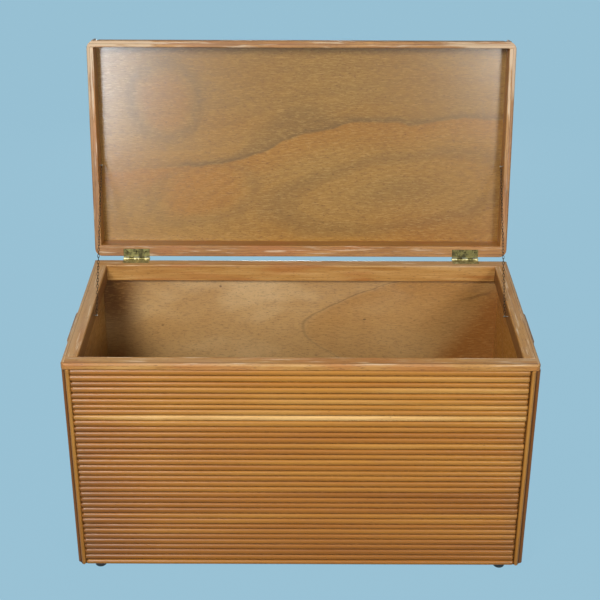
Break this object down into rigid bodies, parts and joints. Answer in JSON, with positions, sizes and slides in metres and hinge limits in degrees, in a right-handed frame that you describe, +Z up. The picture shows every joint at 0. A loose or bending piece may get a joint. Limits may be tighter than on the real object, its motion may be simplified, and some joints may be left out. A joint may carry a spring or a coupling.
{
  "type": "blanket chest",
  "caption": "Lift-lid blanket chest of plywood and solid rails, clad in split rattan reeds, with butt hinges, chain lid stays, side handles and low feet.",
  "frame": {"origin": "on the floor, in the middle of the footprint of the open chest", "axes": "+Z up, the front faces -Y, +X to the viewer's right"},
  "size_m": [0.947, 0.612, 0.9582],
  "materials": {
    "plywood": "satin varnish",
    "reed": "gloss varnish",
    "rail_wood": "satin varnish, worn edges",
    "handle_wood": "satin varnish",
    "brass": "aged",
    "steel": "tarnished",
    "rubber": "matte"
  },
  "bodies": {
    "chest": {"front_panel": "plywood", "back_panel": "plywood", "left_panel": "plywood", "right_panel": "plywood", "bottom_panel": "plywood", "front_reeds": "reed", "back_reeds": "reed", "left_reeds": "reed", "right_reeds": "reed", "front_left_corner_trim": "reed", "front_right_corner_trim": "reed", "back_left_corner_trim": "reed", "back_right_corner_trim": "reed", "front_bottom_trim": "reed", "back_bottom_trim": "reed", "left_bottom_trim": "reed", "right_bottom_trim": "reed", "front_top_rail": "rail_wood", "back_top_rail": "rail_wood", "left_top_rail": "rail_wood", "right_top_rail": "rail_wood", "front_cleat": "rail_wood", "back_cleat": "rail_wood", "left_cleat": "rail_wood", "right_cleat": "rail_wood", "front_top_trim": "rail_wood", "back_top_trim": "rail_wood", "left_top_trim": "rail_wood", "right_top_trim": "rail_wood", "left_handle": "handle_wood", "right_handle": "handle_wood", "left_box_leaf": "brass", "right_box_leaf": "brass", "left_hinge_pin": "brass", "right_hinge_pin": "brass", "box_leaf_screws": "brass", "left_chain": "steel", "right_chain": "steel", "box_chain_screws": "steel", "handle_screws": "steel", "foot_screws": "steel", "feet": "rubber"},
    "lid": {"lid_panel": "plywood", "lid_top_reeds": "reed", "lid_front_reeds": "reed", "lid_back_reeds": "reed", "lid_left_reeds": "reed", "lid_right_reeds": "reed", "lid_corner_trims": "reed", "lid_border_trims": "reed", "lid_front_rail": "rail_wood", "lid_back_rail": "rail_wood", "lid_left_rail": "rail_wood", "lid_right_rail": "rail_wood", "lid_rim_trims": "rail_wood", "left_lid_leaf": "brass", "right_lid_leaf": "brass", "lid_leaf_screws": "brass", "lid_chain_screws": "steel"}
  },
  "joints": [
    {"name": "lid_hinge", "type": "hinge", "parent": "chest", "child": "lid", "pos_m": [0, 0.16903, 0.4885], "axis": [1, 0, 0], "range_deg": [0, 100], "deforming": ["left_chain", "right_chain"]}
  ]
}
